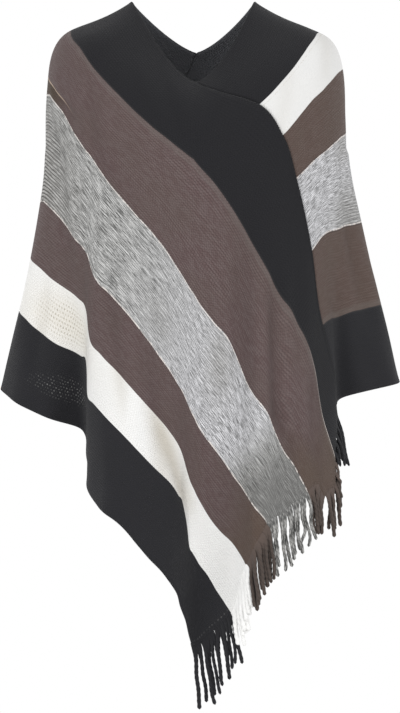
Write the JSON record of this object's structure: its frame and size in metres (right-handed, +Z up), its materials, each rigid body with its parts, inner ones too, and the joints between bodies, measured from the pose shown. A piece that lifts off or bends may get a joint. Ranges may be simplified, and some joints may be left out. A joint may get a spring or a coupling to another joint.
{
  "type": "knitted poncho sweater",
  "caption": "Fringed knitted poncho with a V neck and broad black, brown, grey and cream stripes, in its worn form with nobody in it.",
  "frame": {"origin": "inside the neck, midway between the shoulders that hold the garment up, at the height where the cloth meets them", "axes": "+Z up, -Y to the garment's front, +X over the right panel's arm (the viewer's right, seen from the front)"},
  "size_m": [0.6035, 0.411, 1.0537],
  "materials": {
    "striped_knit_left": "matte striped knit",
    "striped_knit_right": "matte striped knit",
    "black_yarn": "soft matte yarn",
    "brown_yarn": "soft matte yarn",
    "grey_yarn": "marled matte yarn",
    "white_yarn": "soft matte yarn"
  },
  "bodies": {
    "root": {"panel_left": "striped_knit_left", "panel_right": "striped_knit_right", "fringe_front_black_inner": "black_yarn", "fringe_front_brown_wide": "brown_yarn", "fringe_front_grey": "grey_yarn", "fringe_front_brown_narrow": "brown_yarn", "fringe_front_white": "white_yarn", "fringe_front_black_outer": "black_yarn", "fringe_back_black_inner": "black_yarn", "fringe_back_brown_wide": "brown_yarn", "fringe_back_grey": "grey_yarn", "fringe_back_brown_narrow": "brown_yarn", "fringe_back_white": "white_yarn", "fringe_back_black_outer": "black_yarn"}
  },
  "joints": []
}
